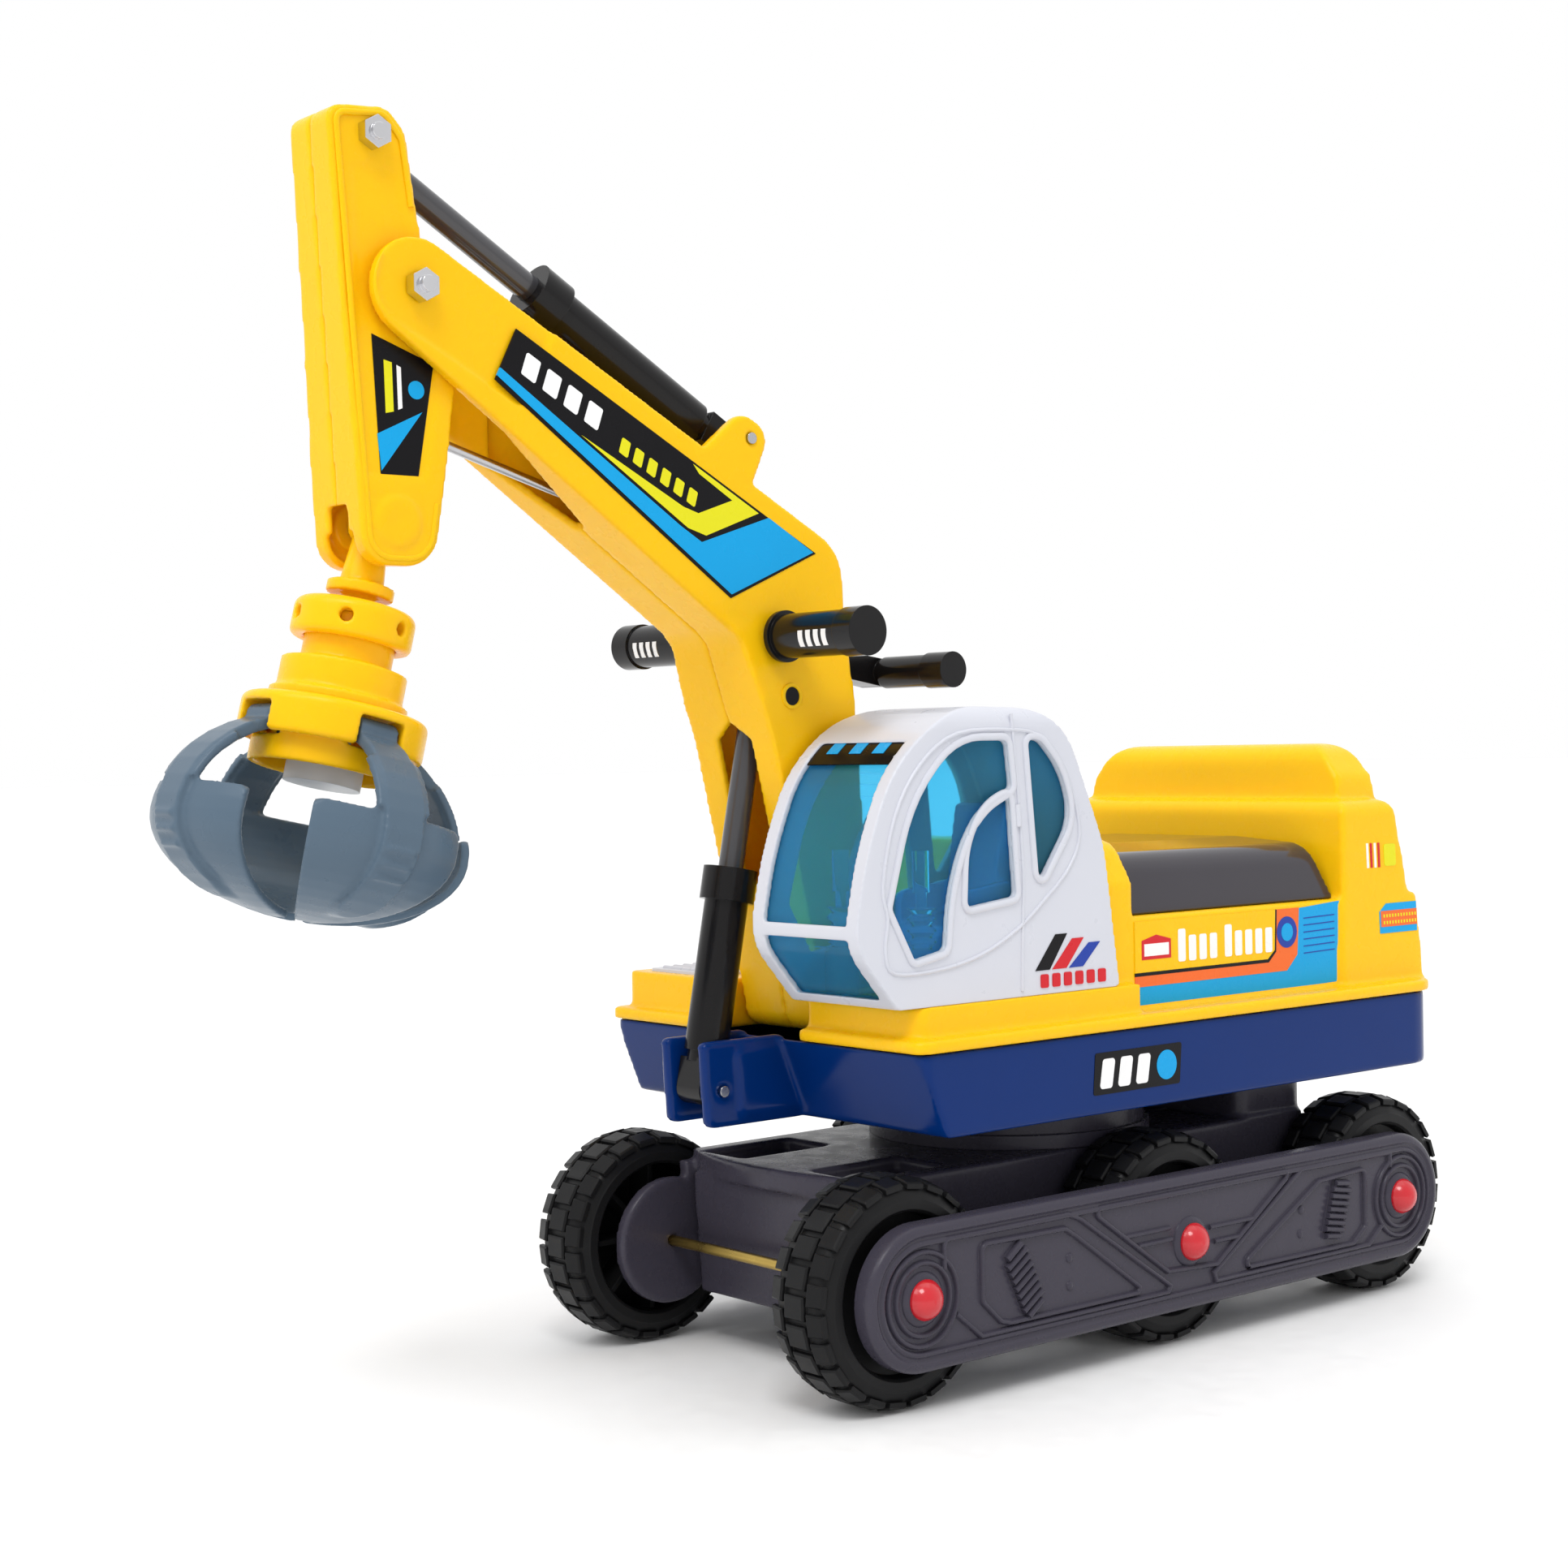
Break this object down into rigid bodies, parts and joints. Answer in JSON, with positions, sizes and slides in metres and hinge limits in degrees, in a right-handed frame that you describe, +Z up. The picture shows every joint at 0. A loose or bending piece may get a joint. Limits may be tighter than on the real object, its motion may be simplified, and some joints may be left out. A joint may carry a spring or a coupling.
{
  "type": "ride-on toy excavator",
  "caption": "Child's ride-on toy excavator: wheeled chassis, slewing body with seat and cab, lifting boom, swinging stick and a hanging claw grab.",
  "frame": {"origin": "on the ground, at the centre of the toy's footprint", "axes": "+Z up, the toy faces -Y, its cab is on the +X side"},
  "size_m": [0.2942, 0.806, 0.6526],
  "materials": {
    "yellow": "gloss",
    "navy": "gloss",
    "charcoal": "satin",
    "black": "satin",
    "wheel_black": "satin",
    "cap_red": "gloss",
    "cab_grey": "gloss",
    "clear_blue": "gloss",
    "blue": "gloss",
    "seat_dark": "gloss",
    "slate": "gloss",
    "white": "satin",
    "steel": "satin",
    "nut": "gloss",
    "zinc": "satin",
    "rod_grey": "gloss"
  },
  "bodies": {
    "chassis": {"chassis_frame": "charcoal", "turntable_drum": "charcoal", "slew_bolt": "steel", "side_cover_left": "charcoal", "side_cover_right": "charcoal", "axle_front": "zinc", "axle_mid": "zinc", "axle_rear": "zinc", "hub_caps": "cap_red"},
    "upper": {"tub": "navy", "body_shell": "yellow", "body_screws": "steel", "seat_pad": "seat_dark", "cab_shell": "cab_grey", "cab_glazing": "clear_blue", "cab_seat": "blue", "cab_levers": "clear_blue", "fork_pin": "steel", "boom_pin": "steel"},
    "boom": {"boom_left": "yellow", "boom_right": "yellow", "boom_screws": "steel", "handlebar": "steel", "grip_left": "black", "grip_right": "black", "ram_pin": "steel", "lug_pin": "steel", "tip_bolt": "nut", "lever_pin": "steel"},
    "lever": {"control_lever": "black", "lever_grip": "black"},
    "rod": {"push_rod": "steel"},
    "boom_barrel": {"boom_ram_barrel": "black"},
    "boom_rod": {"boom_ram_rod": "rod_grey"},
    "stick_barrel": {"stick_ram_barrel": "black"},
    "stick_rod": {"stick_ram_rod": "rod_grey"},
    "stick": {"stick_left": "yellow", "stick_right": "yellow", "top_bolt": "nut", "grab_pin": "steel", "rod_pin": "steel"},
    "yoke": {"grab_yoke": "yellow", "yoke_retainer": "steel"},
    "grab_head": {"lock_collar": "yellow", "grab_housing": "yellow", "grab_cap": "yellow", "claw_pins": "steel"},
    "plunger": {"grab_plunger": "white"},
    "claw_front_body": {"claw_front": "slate"},
    "claw_right_body": {"claw_right": "slate"},
    "claw_rear_body": {"claw_rear": "slate"},
    "claw_left_body": {"claw_left": "slate"},
    "wheel_front_left_body": {"wheel_front_left": "wheel_black"},
    "wheel_front_right_body": {"wheel_front_right": "wheel_black"},
    "wheel_mid_left_body": {"wheel_mid_left": "wheel_black"},
    "wheel_mid_right_body": {"wheel_mid_right": "wheel_black"},
    "wheel_rear_left_body": {"wheel_rear_left": "wheel_black"},
    "wheel_rear_right_body": {"wheel_rear_right": "wheel_black"}
  },
  "joints": [
    {"name": "wheel_front_left_spin", "type": "hinge", "parent": "chassis", "child": "wheel_front_left_body", "pos_m": [-0.105, -0.057, 0.06], "axis": [1, 0, 0], "continuous": true},
    {"name": "wheel_front_right_spin", "type": "hinge", "parent": "chassis", "child": "wheel_front_right_body", "pos_m": [0.105, -0.057, 0.06], "axis": [1, 0, 0], "continuous": true},
    {"name": "wheel_mid_left_spin", "type": "hinge", "parent": "chassis", "child": "wheel_mid_left_body", "pos_m": [-0.105, 0.149, 0.06], "axis": [1, 0, 0], "continuous": true},
    {"name": "wheel_mid_right_spin", "type": "hinge", "parent": "chassis", "child": "wheel_mid_right_body", "pos_m": [0.105, 0.149, 0.06], "axis": [1, 0, 0], "continuous": true},
    {"name": "wheel_rear_left_spin", "type": "hinge", "parent": "chassis", "child": "wheel_rear_left_body", "pos_m": [-0.105, 0.343, 0.06], "axis": [1, 0, 0], "continuous": true},
    {"name": "wheel_rear_right_spin", "type": "hinge", "parent": "chassis", "child": "wheel_rear_right_body", "pos_m": [0.105, 0.343, 0.06], "axis": [1, 0, 0], "continuous": true},
    {"name": "slew", "type": "hinge", "parent": "chassis", "child": "upper", "pos_m": [0, 0.143, 0.138], "axis": [0, 0, 1], "continuous": true},
    {"name": "boom_lift", "type": "hinge", "parent": "upper", "child": "boom", "pos_m": [0, -0.017, 0.197], "axis": [-1, 0, 0], "range_deg": [-3, 6]},
    {"name": "boom_barrel_tilt", "type": "hinge", "parent": "upper", "child": "boom_barrel", "pos_m": [0, -0.091, 0.158], "axis": [-1, 0, 0], "range_deg": [-3, 8]},
    {"name": "boom_rod_slide", "type": "slide", "parent": "boom_barrel", "child": "boom_rod", "axis": [0, 0.1961, 0.9806], "range_m": [-0.004, 0.0105]},
    {"name": "stick_swing", "type": "hinge", "parent": "boom", "child": "stick", "pos_m": [0, -0.2755, 0.5663], "axis": [1, 0, 0], "range_deg": [-12, 5]},
    {"name": "lever_turn", "type": "hinge", "parent": "boom", "child": "lever", "pos_m": [0, -0.029, 0.394], "axis": [-1, 0, 0], "range_deg": [-20, 10]},
    {"name": "rod_turn", "type": "hinge", "parent": "lever", "child": "rod", "pos_m": [0, -0.023, 0.43], "axis": [1, 0, 0], "range_deg": [-20, 10]},
    {"name": "stick_barrel_tilt", "type": "hinge", "parent": "boom", "child": "stick_barrel", "pos_m": [0, -0.072, 0.507], "axis": [1, 0, 0], "range_deg": [-2.5, 1.5]},
    {"name": "stick_rod_slide", "type": "slide", "parent": "stick_barrel", "child": "stick_rod", "axis": [0, -0.8609, 0.5088], "range_m": [-0.0116, 0.006]},
    {"name": "grab_swing", "type": "hinge", "parent": "stick", "child": "yoke", "pos_m": [0, -0.2865, 0.453], "axis": [1, 0, 0], "range_deg": [-25, 30]},
    {"name": "grab_spin", "type": "hinge", "parent": "yoke", "child": "grab_head", "pos_m": [0, -0.30101, 0.39478], "axis": [0, 0.2419, 0.9703], "continuous": true},
    {"name": "plunger_slide", "type": "slide", "parent": "grab_head", "child": "plunger", "axis": [0, 0.2419, 0.9703], "range_m": [0, 0.0101]},
    {"name": "claw_front_open", "type": "hinge", "parent": "grab_head", "child": "claw_front_body", "pos_m": [0.00188, -0.34654, 0.36079], "axis": [-0.9986, -0.0508, 0.0127], "range_deg": [0, 35]},
    {"name": "claw_right_open", "type": "hinge", "parent": "grab_head", "child": "claw_right_body", "pos_m": [0.03595, -0.30983, 0.35163], "axis": [0.0523, -0.969, 0.2416], "range_deg": [0, 35]},
    {"name": "claw_rear_open", "type": "hinge", "parent": "grab_head", "child": "claw_rear_body", "pos_m": [-0.00188, -0.27678, 0.34339], "axis": [0.9986, 0.0508, -0.0127], "range_deg": [0, 35]},
    {"name": "claw_left_open", "type": "hinge", "parent": "grab_head", "child": "claw_left_body", "pos_m": [-0.03595, -0.31349, 0.35254], "axis": [-0.0523, 0.969, -0.2416], "range_deg": [0, 35]}
  ],
  "couplings": [
    {"joint": "boom_barrel_tilt", "follows": "boom_lift", "ratio": 0.746},
    {"joint": "boom_rod_slide", "follows": "boom_lift", "m_per_rad": 0.06276},
    {"joint": "lever_turn", "follows": "stick_swing", "ratio": 1.651},
    {"joint": "rod_turn", "follows": "stick_swing", "ratio": 1.5864},
    {"joint": "stick_barrel_tilt", "follows": "stick_swing", "ratio": 0.1987},
    {"joint": "stick_rod_slide", "follows": "stick_swing", "m_per_rad": 0.05458},
    {"joint": "claw_right_open", "follows": "claw_front_open", "ratio": 1},
    {"joint": "claw_rear_open", "follows": "claw_front_open", "ratio": 1},
    {"joint": "claw_left_open", "follows": "claw_front_open", "ratio": 1},
    {"joint": "plunger_slide", "follows": "claw_front_open", "m_per_rad": 0.0164}
  ]
}
